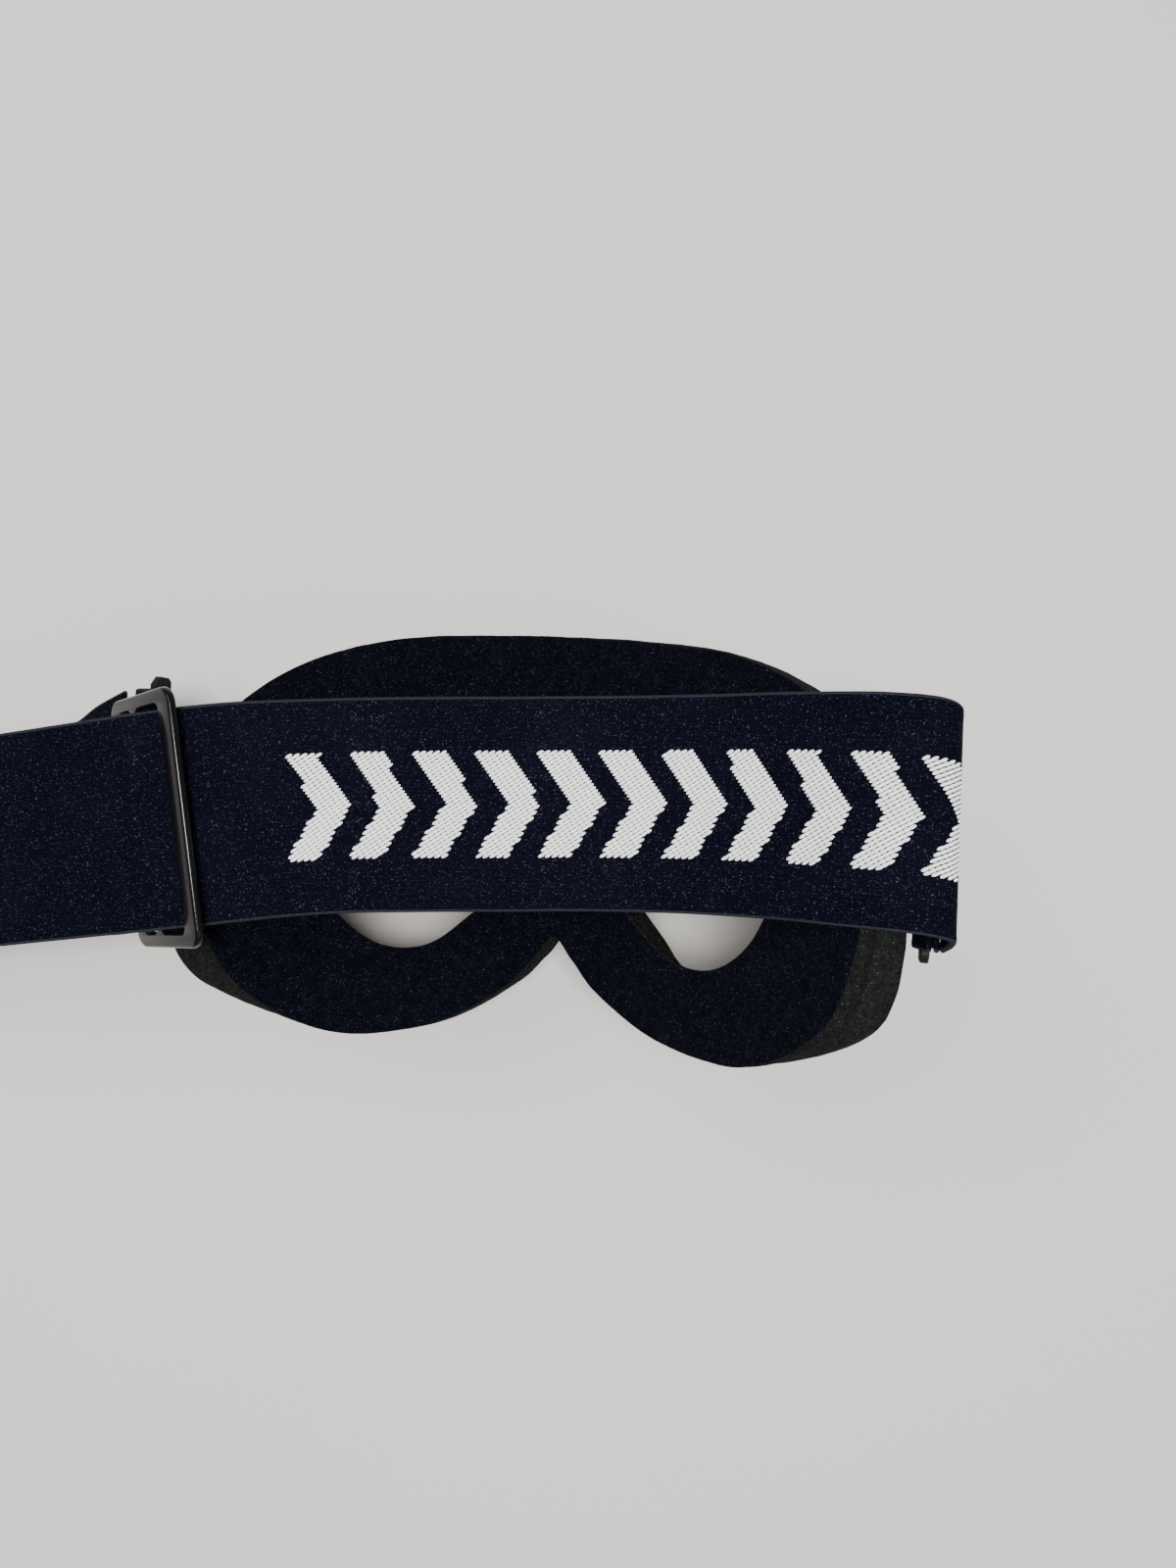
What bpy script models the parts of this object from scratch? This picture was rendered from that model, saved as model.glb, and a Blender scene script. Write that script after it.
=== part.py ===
"""Snow goggles with a double lens, a foam face pad and an elastic strap, lying lens down.

Blender 4.5, metres, +Z up. The goggles lie on their front rim, rolled a little so that the
wearer's right temple is up. +X is the wearer's right, +Y the forehead side, and +Z points
from the lens towards the face. The strap lies folded flat across the face pad.
"""

import math

import bmesh
import bpy
from mathutils import Matrix, Vector

MM = 0.001

# ---- driving dimensions, in millimetres and degrees ------------------------------------
LENS_RADIUS = 105.0          # the lens is part of an upright cylinder
ROLL = 12.0                  # right temple up, turning on the lens cylinder
YAW = -3.0                   # the goggles lie turned a little clockwise
FRAME_SPOT = (48.4, -1.0)    # plan position of the lens cylinder's axis
HALF_WIDTH = 88.0
FLAT_SIDE = 0.08             # how much wider the left half lies, and the right narrower
TALL_SIDE = 0.025            # and how much taller
CENTRING = (-1.62, 0.56, 0.065)  # puts the origin under the middle of the whole
GAP = 0.3                    # between pieces that touch
SPAN_STEPS = 4               # mesh steps between two points of an outline

RIM_THICKNESS = 1.3
OUTER_LENS_THICKNESS = 0.9
INNER_LENS_THICKNESS = 0.6
OUTER_LENS_ROOM = 1.2        # the height that a lens takes up where it slopes
INNER_LENS_ROOM = 0.8
LENS_SPACING = 3.5           # between the two lenses
SEAT_WIDTH = 5.0             # of the step that the lenses sit on
FLANGE_THICKNESS = 2.0
BACK_CENTRE = 26.0           # the frame's back above the lens front, at the nose
WRAP = 0.0040                # how fast the back sweeps up towards the temples, per mm
BASE_FOAM = 11.0
TOP_FOAM = 6.2
FLEECE = 1.6

PIVOT = (95.2, 9.0, 50.0)    # the right arm's hinge axis, in the goggles' own frame
ARM_LENGTH = 9.5             # hinge axis to strap bar
ARM_THICKNESS = 2.0
ARM_WIDTH = 56.6
BARREL_RADIUS = 2.9
BARREL_LENGTH = 16.0
PIN_RADIUS = 1.2
LUG_WIDTH = 4.0
LUG_ROOT = 82.0              # how far out the lugs start, inside the frame's wall
BAR_HALF = 1.2               # half the depth of an arm's strap bar
STRAP_ROOM = 0.8             # between the strap's edge and the end of its slot
TOP_VENTS = (-50, -25, 0, 25, 50)            # along the top wall
LOW_VENTS = ((40, -41, -4), (59, -36.5, 24))   # along the lower wall: u, v and turn
VENT_FOAM_HEIGHT = (-2.6, 6.4)               # from the middle of the wall

STRAP_WIDTH = 50.0
STRAP_THICKNESS = 1.6
PLY_THICKNESS = 1.2          # of the folded and sewn ends
SLOPE = 14.3                 # the strap's fall to the left of its highest point
SLOPE_TURN = 7.0             # and its turn in plan
SLOPE_TOP = (-22.0, 6.7, 72.0)
SLOPE_LENGTH = 74.0

SLIDER_LENGTH = 31.0
SLIDER_WIDTH = 59.0
SLIDER_THICKNESS = 2.0
SLIDER_TILT = 31.0           # against the strap that threads it
SLIDER_DROP = 2.94           # its centre below the strap's middle surface
SLIDER_DISTANCE = 10.9       # from the top of the slope to its centre
CENTRE_BAR = (-4.5, -1.5)
RIGHT_BAR_EDGE = 9.5
LEFT_BAR_EDGE = -10.5
LOOP_RADIUS = 2.65           # of a ply's middle surface round the slider's centre bar
INNER_END = (-31.4, -4.5)    # where the inner layer starts, in the slider's frame
TURN_REACH = 34.0            # over which the main stretch turns into the slope's direction
TACK_MARGIN = 1.5            # from the strap's edge to the end of a bar tack
ARM_LOOP_RADIUS = 2.3        # and round an arm's bar

# ---- half outlines seen from the face side, top centre to the middle of the nose -------
# Every outline has its points at the same places round the goggles.
BASE_OUTLINE = [
    (0, 52.5), (22, 52), (44, 49.5), (66, 41), (82, 26), (88, 5), (91, -17),
    (84, -38), (57, -49), (29, -45.7), (12.5, -36), (5, -28.5), (0, -23),
]
FACE_OUTLINE = [
    (0, 52), (22, 51.3), (44, 48.3), (63, 39.5), (76, 24), (79, 3), (77.5, -18),
    (70, -36.5), (51, -48), (28.5, -45.4), (12, -35.7), (5, -28.2), (0, -22.5),
]
FACE_OPENING = [
    (0, 28), (20, 28), (38, 25.5), (50, 18.5), (54.5, 8), (56, -2), (54, -12),
    (49, -20.5), (41, -26), (31, -25.5), (21.5, -18), (12, -8.5), (0, -3.5),
]
FRAME_OPENING = [
    (0, 38), (20, 38), (41, 35.5), (60, 28), (71, 17), (75, 2), (73, -16),
    (64, -29), (48, -35.5), (33, -31), (23.5, -20.5), (14, -11.5), (0, -7.5),
]
LENS_OUTLINE = [
    (0, 42.5), (22, 42.3), (43, 40.2), (64, 33.5), (78.5, 20.5), (84, 3), (82.5, -17),
    (72, -34), (51, -42.6), (30, -39.8), (15.5, -31), (7, -24), (0, -19.5),
]

# ---- where the strap runs: points on its middle surface --------------------------------
RIGHT_SIDE = [
    (145.0, 2.9, 87.2), (145.4, 4.2, 90.0), (144.4, 5.8, 93.2), (141.4, 6.9, 95.0),
    (137.4, 7.6, 94.4),
]
UPPER_RUN = [
    (137.1, 7.7, 94.3), (129.0, 8.4, 91.8), (120.0, 8.8, 87.0), (109.0, 9.2, 79.6),
    (98.0, 9.3, 73.2), (88.0, 9.4, 69.0), (75.0, 9.4, 66.0), (62.0, 9.4, 65.0),
    (50.0, 9.3, 65.0),
    (37.0, 9.3, 65.0), (25.0, 9.2, 65.0), (12.0, 9.0, 65.0), (-2.0, 8.4, 67.4),
    (-12.0, 7.7, 70.6),
]
LEFT_FOLD = [
    (-110.0, -4.8, 47.6), (-126.0, -7.0, 37.5), (-137.5, -8.6, 24.0),
    (-142.0, -9.3, 11.5), (-137.5, -8.7, 3.0), (-128.0, -7.4, 0.95), (-112.0, -5.2, 0.95),
]
LEFT_LOWER = [
    (-111.6, -5.15, 0.95), (-92.0, -1.0, 3.6), (-72.0, 5.4, 10.6), (-58.0, 10.4, 21.6),
    (-49.6, 12.9, 30.0),
]
INNER_RUN = [
    (-51.6, 12.9, 37.3), (-62.0, 9.6, 28.0), (-74.0, 5.0, 16.2), (-94.0, -1.2, 8.0),
    (-112.0, -4.6, 4.8), (-126.0, -6.7, 5.6), (-134.5, -8.0, 11.8), (-131.5, -7.7, 20.5),
    (-120.5, -6.2, 31.6), (-105.5, -4.1, 41.0), (-90.0, -2.1, 46.6),
]

TEXTILE = (0.012, 0.014, 0.028)
BLACK = (0.012, 0.012, 0.013)


# ---- scene -----------------------------------------------------------------------------
def clear_scene():
    """Remove whatever the file held before."""
    for item in list(bpy.data.objects):
        bpy.data.objects.remove(item)


def new_collection(name):
    collection = bpy.data.collections.new(name)
    bpy.context.scene.collection.children.link(collection)
    return collection


clear_scene()
PARTS = new_collection("snow_goggles")
CUTTERS = new_collection("cutters")


def material(name, colour, roughness, metallic=0.0, transmission=0.0):
    """A Principled material."""
    made = bpy.data.materials.new(name)
    made.use_nodes = True
    shader = made.node_tree.nodes["Principled BSDF"]
    shader.inputs["Base Color"].default_value = (*colour, 1.0)
    shader.inputs["Roughness"].default_value = roughness
    shader.inputs["Metallic"].default_value = metallic
    shader.inputs["Transmission Weight"].default_value = transmission
    return made


def empty(name, parent=None, location=(0, 0, 0), rotation=(0, 0, 0)):
    """A frame for other objects; location in millimetres, rotation in degrees."""
    frame = bpy.data.objects.new(name, None)
    PARTS.objects.link(frame)
    frame.parent = parent
    frame.location = Vector(location) * MM
    frame.rotation_euler = [math.radians(angle) for angle in rotation]
    return frame


def object_from(name, mesh_work, parent=None, look=None, collection=PARTS):
    """Turn a bmesh that is worked in millimetres into an object in metres."""
    bmesh.ops.scale(mesh_work, vec=(MM, MM, MM), verts=mesh_work.verts)
    bmesh.ops.recalc_face_normals(mesh_work, faces=mesh_work.faces)
    mesh = bpy.data.meshes.new(name)
    mesh_work.to_mesh(mesh)
    mesh_work.free()
    mesh.shade_smooth()
    mesh.set_sharp_from_angle(angle=math.radians(35))
    made = bpy.data.objects.new(name, mesh)
    collection.objects.link(made)
    made.parent = parent
    if look:
        mesh.materials.append(look)
    return made


def hide_cutter(cutter):
    cutter.hide_render = True
    cutter.display_type = "WIRE"


def boolean(target, cutter, operation):
    """Cut target with cutter, or join the two."""
    hide_cutter(cutter)
    change = target.modifiers.new(operation.lower(), "BOOLEAN")
    change.operation = operation
    change.object = cutter
    change.solver = "EXACT"


def bevel(target, width, segments=2):
    """Round the sharp edges of target."""
    rounding = target.modifiers.new("rounded", "BEVEL")
    rounding.width = width * MM
    rounding.segments = segments
    rounding.limit_method = "ANGLE"
    rounding.angle_limit = math.radians(50)


def block(name, size, location, rotation=(0, 0, 0), parent=None, look=None, collection=PARTS):
    """A box of a size in millimetres, placed in its parent's frame."""
    work = bmesh.new()
    bmesh.ops.create_cube(work, size=1.0)
    bmesh.ops.scale(work, vec=size, verts=work.verts)
    made = object_from(name, work, parent, look, collection)
    made.location = Vector(location) * MM
    made.rotation_euler = [math.radians(angle) for angle in rotation]
    return made


def rod(name, radius, length, location, parent=None, look=None, collection=PARTS, sides=24):
    """A cylinder along its parent's Y axis."""
    work = bmesh.new()
    bmesh.ops.create_cone(
        work, cap_ends=True, segments=sides, radius1=radius, radius2=radius, depth=length
    )
    turn = Matrix.Rotation(math.radians(90), 3, "X")
    bmesh.ops.rotate(work, matrix=turn, verts=work.verts)
    made = object_from(name, work, parent, look, collection)
    made.location = Vector(location) * MM
    return made


# ---- smooth lines ----------------------------------------------------------------------
def smooth_line(points, steps, closed=False):
    """Catmull-Rom points through the given ones, with a number of steps in each span."""
    points = [Vector(point) for point in points]
    count = len(points)
    line = []
    for index in range(count if closed else count - 1):
        if closed:
            a, b, c, d = (points[(index + shift) % count] for shift in (-1, 0, 1, 2))
        else:
            b, c = points[index], points[index + 1]
            a = points[index - 1] if index else 2 * b - c
            d = points[index + 2] if index + 2 < count else 2 * c - b
        for step in range(steps):
            t = step / steps
            line.append(
                0.5 * (2 * b + (c - a) * t + (2 * a - 5 * b + 4 * c - d) * t**2
                       + (3 * b - a - 3 * c + d) * t**3)
            )
    if not closed:
        line.append(points[-1])
    return line


def outline(half, grow=0.0):
    """A whole outline from its right half, moved outwards by grow."""
    left = [(-u, v) for u, v in reversed(half[1:-1])]
    line = smooth_line([(u, v) for u, v in half] + left, SPAN_STEPS, closed=True)
    count = len(line)
    grown = []
    for index, point in enumerate(line):
        along = (line[(index + 1) % count] - line[index - 1]).normalized()
        grown.append(point + grow * Vector((-along.y, along.x)))
    return grown


# ---- surfaces of the goggles, as heights over the lens front at half width u -----------
def lens_front(u):
    return LENS_RADIUS - math.sqrt(LENS_RADIUS**2 - u**2)


def frame_back(u):
    return BACK_CENTRE + WRAP * u**2


def wall_middle(u):
    return (lens_front(u) + frame_back(u)) / 2


def above(surface, amount):
    """The surface moved up by amount."""
    return lambda u: surface(u) + amount


def settled(u, v, w):
    """Where a point of the symmetrical goggles lies once the soft frame has settled."""
    out = u / HALF_WIDTH
    return Vector((u * (1 - FLAT_SIDE * out), v * (1 - TALL_SIDE * out), w))


def ring(name, section, parent, look, span=None):
    """A ring, or the stretch of it given by span, with the given corners in its section.

    Each corner is an outline and a height function, in order round the section.
    """
    work = bmesh.new()
    count = len(section[0][0])
    places = range(count) if span is None else range(span[0], span[1] + 1)
    rows = []
    for place in places:
        corners = []
        for line, height in section:
            u, v = line[place % count]
            corners.append(work.verts.new(settled(u, v, height(u))))
        rows.append(corners)
    closed = span is None
    for index in range(len(rows) if closed else len(rows) - 1):
        here, there = rows[index], rows[(index + 1) % len(rows)]
        for corner in range(len(section)):
            following = (corner + 1) % len(section)
            work.faces.new(
                (here[corner], here[following], there[following], there[corner])
            )
    if not closed:
        work.faces.new(rows[0])
        work.faces.new(list(reversed(rows[-1])))
    return object_from(name, work, parent, look)


def prism(name, line, low, high, frame):
    """A cutter with an outline for its section, from low to high."""
    work = bmesh.new()
    corners = [work.verts.new(settled(u, v, low)) for u, v in line]
    floor = work.faces.new(corners)
    grown = bmesh.ops.extrude_face_region(work, geom=[floor])
    top = [item for item in grown["geom"] if isinstance(item, bmesh.types.BMVert)]
    bmesh.ops.translate(work, vec=(0, 0, high - low), verts=top)
    return object_from(name, work, frame, collection=CUTTERS)


def lens_plate(name, line, height, thickness, frame, look):
    """A curved plate cut to an outline: an open bent strip with Solidify, then the cut."""
    work = bmesh.new()
    reach, steps = LENS_OUTLINE[5][0] + 4.0, 44
    rows = []
    for step in range(steps + 1):
        u = reach * (2 * step / steps - 1)
        rows.append([work.verts.new(settled(u, v, height(u))) for v in (-60.0, 60.0)])
    for here, there in zip(rows, rows[1:]):
        work.faces.new((here[0], there[0], there[1], here[1]))
    made = object_from(name, work, frame, look)
    shell = made.modifiers.new("thickness", "SOLIDIFY")
    shell.thickness = thickness * MM
    shell.offset = 0.0
    boolean(made, prism(f"{name}_cutter", line, -10.0, 90.0, frame), "INTERSECT")
    return made


# ---- strap pieces ----------------------------------------------------------------------
def webbing(name, line, parent, look, turns=(0.0, 0.0), thickness=STRAP_THICKNESS):
    """A strap piece along a line: an open strip, as wide as the strap, with Solidify.

    turns are the strap's directions in plan at its two ends, in degrees.
    """
    first, last = turns
    work = bmesh.new()
    near = []
    far = []
    for index, point in enumerate(line):
        angle = math.radians(first + (last - first) * index / (len(line) - 1))
        across = Vector((-math.sin(angle), math.cos(angle), 0)) * STRAP_WIDTH / 2
        near.append(work.verts.new(point - across))
        far.append(work.verts.new(point + across))
    for index in range(len(line) - 1):
        work.faces.new((near[index], near[index + 1], far[index + 1], far[index]))
    made = object_from(name, work, parent, look)
    shell = made.modifiers.new("thickness", "SOLIDIFY")
    shell.thickness = thickness * MM
    shell.offset = 0.0
    shell.use_even_offset = True
    return made


# ---- goggles ---------------------------------------------------------------------------
def goggle_frame(root):
    """The empty that carries the goggles' own frame: u right, v up the face, w to the face."""
    turn = (Matrix.Rotation(math.radians(YAW), 3, "Z")
            @ Matrix.Rotation(math.radians(-ROLL), 3, "Y"))
    axis = Vector((*FRAME_SPOT, LENS_RADIUS + RIM_THICKNESS))
    location = axis - turn @ Vector((0, 0, LENS_RADIUS))
    frame = empty("goggles_frame", root, location)
    frame.rotation_euler = turn.to_euler()
    return frame


def make_lenses(frame):
    """The rim, the two lenses and the foam seal that holds them apart."""
    clear = material("lens_clear", (0.80, 0.74, 0.66), 0.05, transmission=0.9)
    clear_inner = material("lens_clear_inner", (0.85, 0.82, 0.78), 0.08, transmission=0.9)
    lens = outline(LENS_OUTLINE, -GAP)
    outer_middle = GAP + OUTER_LENS_ROOM / 2
    inner_front = GAP + OUTER_LENS_ROOM + LENS_SPACING
    inner_middle = inner_front + INNER_LENS_ROOM / 2
    lens_plate("outer_lens", lens, above(lens_front, outer_middle), OUTER_LENS_THICKNESS,
               frame, clear)
    lens_plate("inner_lens", outline(LENS_OUTLINE, -1.0), above(lens_front, inner_middle),
               INNER_LENS_THICKNESS, frame, clear_inner)
    seal_front = above(lens_front, 2 * GAP + OUTER_LENS_ROOM + 0.1)
    seal_back = above(lens_front, inner_front - GAP - 0.1)
    seal_outer = outline(LENS_OUTLINE, -1.0)
    seal_inner = outline(LENS_OUTLINE, -4.6)
    ring("lens_seal",
         [(seal_outer, seal_front), (seal_inner, seal_front),
          (seal_inner, seal_back), (seal_outer, seal_back)],
         frame, material("seal_foam", (0.02, 0.02, 0.02), 0.9))
    rim_outer = outline(LENS_OUTLINE, 2.4)
    rim_inner = outline(LENS_OUTLINE, -2.6)
    rim_front = above(lens_front, -RIM_THICKNESS)
    rim_back = above(lens_front, -0.1)
    ring("front_rim",
         [(outline(LENS_OUTLINE, 1.7), rim_front), (outline(LENS_OUTLINE, -1.9), rim_front),
          (rim_inner, above(lens_front, -RIM_THICKNESS / 2)), (rim_inner, rim_back),
          (rim_outer, rim_back), (rim_outer, above(lens_front, -RIM_THICKNESS / 2))],
         frame, material("rim_plastic", BLACK, 0.35))


def cut_vents(frame, body):
    """Windows through the frame's top and bottom walls, each square to the wall there."""
    for number, u in enumerate(TOP_VENTS):
        place = settled(u, 42.0 - 0.0028 * u**2, wall_middle(u) + 2)
        window = block(f"vent_cutter_top_{number}", (15, 16, 7.5), place,
                       (0, -0.4 * u, -0.28 * u), frame, collection=CUTTERS)
        boolean(body, window, "DIFFERENCE")
    for side in (-1, 1):
        for number, (u, v, turn) in enumerate(LOW_VENTS):
            place = settled(side * u, v, wall_middle(u) + 2)
            window = block(f"vent_cutter_low_{side}_{number}", (13, 14, 7), place,
                           (0, -side * 0.4 * u, side * turn), frame, collection=CUTTERS)
            boolean(body, window, "DIFFERENCE")


def add_lugs(frame, body):
    """Two lugs on each side of the frame, bored for the arm's pin."""
    for side in (-1, 1):
        pivot = settled(side * PIVOT[0], PIVOT[1], PIVOT[2])
        reach = abs(pivot.x - settled(side * LUG_ROOT, PIVOT[1], 0).x)
        for number, way in enumerate((-1, 1)):
            across = way * (BARREL_LENGTH / 2 + GAP + LUG_WIDTH / 2)
            spot = pivot + Vector((side * (BARREL_RADIUS - reach) / 2, across, 0.0))
            size = (reach + BARREL_RADIUS, LUG_WIDTH, 2 * BARREL_RADIUS)
            lug = block(f"lug_{side}_{number}", size, spot, parent=frame, collection=CUTTERS)
            boolean(body, lug, "UNION")
        hole = rod(f"lug_hole_{side}", PIN_RADIUS + GAP, 40, pivot, frame,
                   collection=CUTTERS, sides=16)
        boolean(body, hole, "DIFFERENCE")


def make_frame(frame):
    """The moulded frame with its lens seat, flange, vents and arm lugs."""
    seat_floor = GAP * 2 + OUTER_LENS_ROOM + LENS_SPACING + INNER_LENS_ROOM + 0.1
    front_outer = outline(LENS_OUTLINE, 2.2)
    seat_wall = outline(LENS_OUTLINE, 0.1)
    seat_inner = outline(LENS_OUTLINE, -SEAT_WIDTH)
    flange = outline(BASE_OUTLINE, -0.8)
    body = ring(
        "frame_body",
        [(front_outer, above(lens_front, 0.2)),
         (seat_wall, above(lens_front, 0.2)),
         (seat_wall, above(lens_front, seat_floor)),
         (seat_inner, above(lens_front, seat_floor)),
         (outline(FRAME_OPENING), frame_back),
         (flange, frame_back),
         (flange, above(frame_back, -FLANGE_THICKNESS)),
         (front_outer, above(frame_back, -FLANGE_THICKNESS - 1.2))],
        frame, material("frame_tpu", BLACK, 0.42))
    cut_vents(frame, body)
    add_lugs(frame, body)


def make_vent_foam(frame):
    """Thin foam strips inside the frame, behind its vents."""
    outer, inner = outline(FRAME_OPENING, -1.5), outline(FRAME_OPENING, -3.6)
    low, high = (above(wall_middle, height) for height in VENT_FOAM_HEIGHT)
    section = [(outer, low), (inner, low), (inner, high), (outer, high)]
    top = 3 * SPAN_STEPS - 1
    lobe_start, lobe_end = 7 * SPAN_STEPS - 1, 9 * SPAN_STEPS - 1
    whole = len(outer)
    spans = {
        "vent_foam_top": (-top, top),
        "vent_foam_bottom_right": (lobe_start, lobe_end),
        "vent_foam_bottom_left": (whole - lobe_end, whole - lobe_start),
    }
    for name, span in spans.items():
        ring(name, section, frame, material(f"{name}_look", (0.03, 0.03, 0.032), 0.95), span)


def make_face_pad(frame):
    """Two layers of foam and the fleece that lies on the face."""
    base_bottom = above(frame_back, 2 * GAP)
    base_top = above(base_bottom, BASE_FOAM)
    face_top = above(base_top, GAP + TOP_FOAM)
    fleece_back = above(face_top, GAP)
    fleece_top = above(fleece_back, FLEECE)
    share = BASE_FOAM / (BASE_FOAM + TOP_FOAM)
    base_outer, face_outer = outline(BASE_OUTLINE), outline(FACE_OUTLINE)
    frame_inner, face_inner = outline(FRAME_OPENING, -0.5), outline(FACE_OPENING)
    middle_outer = [a.lerp(b, share) for a, b in zip(base_outer, face_outer)]
    middle_inner = [a.lerp(b, share) for a, b in zip(frame_inner, face_inner)]
    ring("face_foam_base",
         [(base_outer, base_bottom), (frame_inner, base_bottom),
          (middle_inner, base_top), (middle_outer, base_top)],
         frame, material("foam_grey", (0.035, 0.042, 0.038), 0.95))
    ring("face_foam_top",
         [(middle_outer, above(base_top, GAP)), (middle_inner, above(base_top, GAP)),
          (face_inner, face_top), (face_outer, face_top)],
         frame, material("foam_charcoal", (0.03, 0.036, 0.033), 0.95))
    ring("face_fleece",
         [(face_outer, fleece_back), (face_inner, fleece_back),
          (face_inner, fleece_top), (face_outer, fleece_top)],
         frame, material("fleece_navy", (0.008, 0.010, 0.022), 1.0))


def arm_plate(name, pivot):
    """The flat of an arm in its own frame: X is its thickness, Y its width, Z its length."""
    neck, half = BARREL_LENGTH / 2 - 0.6, ARM_WIDTH / 2
    slot = STRAP_WIDTH / 2 + STRAP_ROOM
    top = ARM_LENGTH + BAR_HALF
    low = ARM_LENGTH - BAR_HALF - 3.6
    curve = bpy.data.curves.new(name, "CURVE")
    curve.dimensions = "2D"
    curve.fill_mode = "BOTH"
    curve.extrude = ARM_THICKNESS / 2 * MM
    shapes = [
        [(-neck, 0.8), (neck, 0.8), (neck, low - 1.2), (half - 1, low - 0.8), (half, low + 0.2),
         (half, top - 2.0), (half - 2.0, top), (2.0 - half, top), (-half, top - 2.0),
         (-half, low + 0.2), (1 - half, low - 0.8), (-neck, low - 1.2)],
        [(-slot, low), (-slot, ARM_LENGTH - BAR_HALF), (slot, ARM_LENGTH - BAR_HALF), (slot, low)],
    ]
    for shape in shapes:
        spline = curve.splines.new("POLY")
        spline.points.add(len(shape) - 1)
        spline.use_cyclic_u = True
        for point, (across, along) in zip(spline.points, shape):
            point.co = (across * MM, along * MM, 0, 1)
    guide = bpy.data.objects.new(name, curve)
    PARTS.objects.link(guide)
    plate = mesh_from_curve(guide, name)
    plate.data.transform(Matrix(((0, 0, 1, 0), (1, 0, 0, 0), (0, 1, 0, 0), (0, 0, 0, 1))))
    plate.parent = pivot
    return plate


def mesh_from_curve(guide, name):
    """Turn a curve object into a mesh object with its caps welded."""
    bpy.context.view_layer.update()
    evaluated = guide.evaluated_get(bpy.context.evaluated_depsgraph_get())
    mesh = bpy.data.meshes.new_from_object(evaluated)
    work = bmesh.new()
    work.from_mesh(mesh)
    bmesh.ops.remove_doubles(work, verts=work.verts, dist=0.00001)
    bmesh.ops.recalc_face_normals(work, faces=work.faces)
    work.to_mesh(mesh)
    work.free()
    made = bpy.data.objects.new(name, mesh)
    PARTS.objects.link(made)
    made.matrix_world = guide.matrix_world
    bpy.data.objects.remove(guide)
    made.name = name
    return made


def make_arm(frame, side_name, side):
    """A hinged strap arm and its pin; the empty is on the hinge's axis."""
    place = settled(side * PIVOT[0], PIVOT[1], PIVOT[2])
    pivot = empty(f"{side_name}_arm_pivot", frame, place)
    arm = arm_plate(f"strap_arm_{side_name}", pivot)
    arm.data.materials.append(material(f"arm_plastic_{side_name}", BLACK, 0.38))
    barrel = rod(f"barrel_{side_name}", BARREL_RADIUS, BARREL_LENGTH, (0, 0, 0), pivot,
                 collection=CUTTERS)
    bore = rod(f"bore_{side_name}", PIN_RADIUS + GAP, ARM_WIDTH, (0, 0, 0), pivot,
               collection=CUTTERS, sides=16)
    bevel(arm, 0.3, 1)
    boolean(arm, barrel, "UNION")
    boolean(arm, bore, "DIFFERENCE")
    length = BARREL_LENGTH + 2 * (LUG_WIDTH + GAP) + 1.0
    rod(f"arm_pin_{side_name}", PIN_RADIUS, length, (0, 0, 0), pivot,
        material(f"pin_steel_{side_name}", (0.55, 0.55, 0.56), 0.3, 1.0), sides=16)
    return pivot


# ---- strap -----------------------------------------------------------------------------
def slope_frame(root):
    """The empty on the straight stretch of the strap, and its turn: X runs up to the right."""
    turn = (Matrix.Rotation(math.radians(SLOPE_TURN), 3, "Z")
            @ Matrix.Rotation(math.radians(-SLOPE), 3, "Y"))
    frame = empty("slider_slide", root, Vector(SLOPE_TOP) - turn @ Vector((SLIDER_DISTANCE, 0, 0)))
    frame.rotation_euler = turn.to_euler()
    return frame, turn


def strap_look(number):
    return material(f"strap_elastic_{number}", TEXTILE, 0.85)


def make_strap(root, turn):
    """The elastic strap's stretches, from the right arm over the pad and round the left fold."""
    top = Vector(SLOPE_TOP)
    down = turn @ Vector((-1, 0, 0))
    start, foot = top + 2 * down, top + SLOPE_LENGTH * down
    upper = smooth_line(UPPER_RUN + [start], 4)
    slope = [start.lerp(foot, step / 3) for step in range(1, 4)]
    main = webbing("strap_main", upper + slope, root, strap_look("main"))
    turn_towards_slope(main)
    webbing("strap_left_fold", smooth_line([foot + GAP * down] + LEFT_FOLD, 5), root,
            strap_look("fold"), (SLOPE_TURN, SLOPE_TURN))
    webbing("strap_left_lower", smooth_line(LEFT_LOWER, 4), root, strap_look("lower"),
            (SLOPE_TURN, YAW))
    webbing("strap_right_side", smooth_line(RIGHT_SIDE, 3), root, strap_look("side"), (YAW, 0.0))
    ply_end = top + turn @ Vector((INNER_END[0] - SLIDER_DISTANCE, 0, INNER_END[1]))
    webbing("strap_inner_layer", smooth_line(INNER_RUN + [ply_end], 4), root,
            strap_look("inner"), (YAW, SLOPE_TURN), PLY_THICKNESS)


def turn_towards_slope(main):
    """Turn the cross lines of the main stretch step by step into the slope's direction."""
    mesh = main.data
    for index in range(0, len(mesh.vertices), 2):
        near, far = mesh.vertices[index], mesh.vertices[index + 1]
        middle = (near.co + far.co) / 2
        share = min(1.0, max(0.0, (SLOPE_TOP[0] + TURN_REACH - middle.x / MM) / TURN_REACH))
        angle = math.radians(SLOPE_TURN * share**2 * (3 - 2 * share))
        across = Vector((-math.sin(angle), math.cos(angle), 0)) * STRAP_WIDTH / 2 * MM
        near.co, far.co = middle - across, middle + across


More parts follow.
